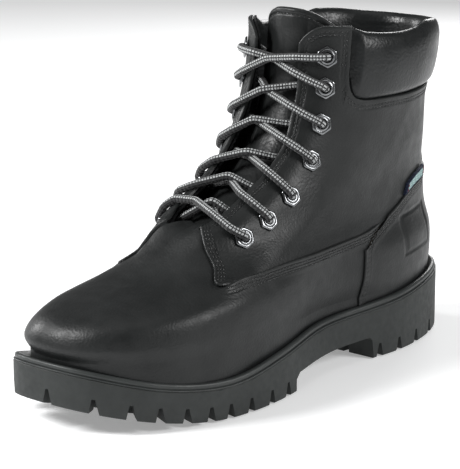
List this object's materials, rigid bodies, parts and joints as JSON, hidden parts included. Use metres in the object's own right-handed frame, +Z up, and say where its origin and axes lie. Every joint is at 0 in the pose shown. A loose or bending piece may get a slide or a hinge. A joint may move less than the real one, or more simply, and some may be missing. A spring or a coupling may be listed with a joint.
{
  "type": "steel toe work boot",
  "caption": "Left ankle-high lace-up work boot: lugged rubber sole, steel toe cap under the vamp, padded collar and tongue, hexagonal eyelets and a round lace.",
  "frame": {"origin": "on the ground, at the centre of the boot's bounding box seen from above", "axes": "+Z up from the ground, +Y from the toe to the heel, +X towards the outer side of the left foot"},
  "size_m": [0.1099, 0.31, 0.2022],
  "materials": {
    "rubber_sole": "matte moulded rubber",
    "welt": "matte",
    "leather_smooth": "smooth full-grain, semi-gloss",
    "leather_collar": "soft padded, glossy",
    "lining": "soft knitted",
    "insulation": "felt",
    "foam": "open-cell foam",
    "footbed": "brushed textile",
    "board": "pressed fibre",
    "midsole": "foamed, matte",
    "gel": "soft, matte",
    "steel": "pressed, plain",
    "eyelet_metal": "gunmetal, semi-gloss",
    "lace": "round braid with pale flecks",
    "aglet": "clear over black",
    "label": "woven tag"
  },
  "bodies": {
    "boot": {"outsole": "rubber_sole", "welt": "welt", "midsole": "midsole", "heel_cushion": "gel", "shank": "steel", "insole_board": "board", "vamp": "leather_smooth", "quarter_lateral": "leather_smooth", "quarter_medial": "leather_smooth", "heel_patch": "leather_smooth", "collar_cover": "leather_collar", "collar_foam": "foam", "side_label": "label", "steel_toe_cap": "steel", "toe_cap_strip": "rubber_sole", "vamp_insulation": "insulation", "shaft_insulation": "insulation", "heel_counter": "board", "toe_lining": "lining", "shaft_lining": "lining", "eyelets_lateral": "eyelet_metal", "eyelets_medial": "eyelet_metal", "eyelet_washers_lateral": "eyelet_metal", "eyelet_washers_medial": "eyelet_metal", "lace": "lace", "lace_tail_lateral": "lace", "lace_tail_medial": "lace", "aglet_lateral": "aglet", "aglet_medial": "aglet"},
    "tongue": {"tongue_leather": "leather_smooth", "tongue_foam": "foam", "tongue_lining": "lining", "gusset_lateral": "leather_smooth", "gusset_medial": "leather_smooth"},
    "footbed": {"footbed_foam": "foam", "footbed_cover": "footbed"}
  },
  "joints": [
    {"name": "tongue_tilt", "type": "hinge", "parent": "boot", "child": "tongue", "pos_m": [0.001, -0.074, 0.073], "axis": [-1, 0, 0], "range_deg": [0, 6]},
    {"name": "footbed_lift", "type": "hinge", "parent": "boot", "child": "footbed", "pos_m": [0.001, -0.138, 0.03], "axis": [1, 0, 0], "range_deg": [0, 3]}
  ]
}
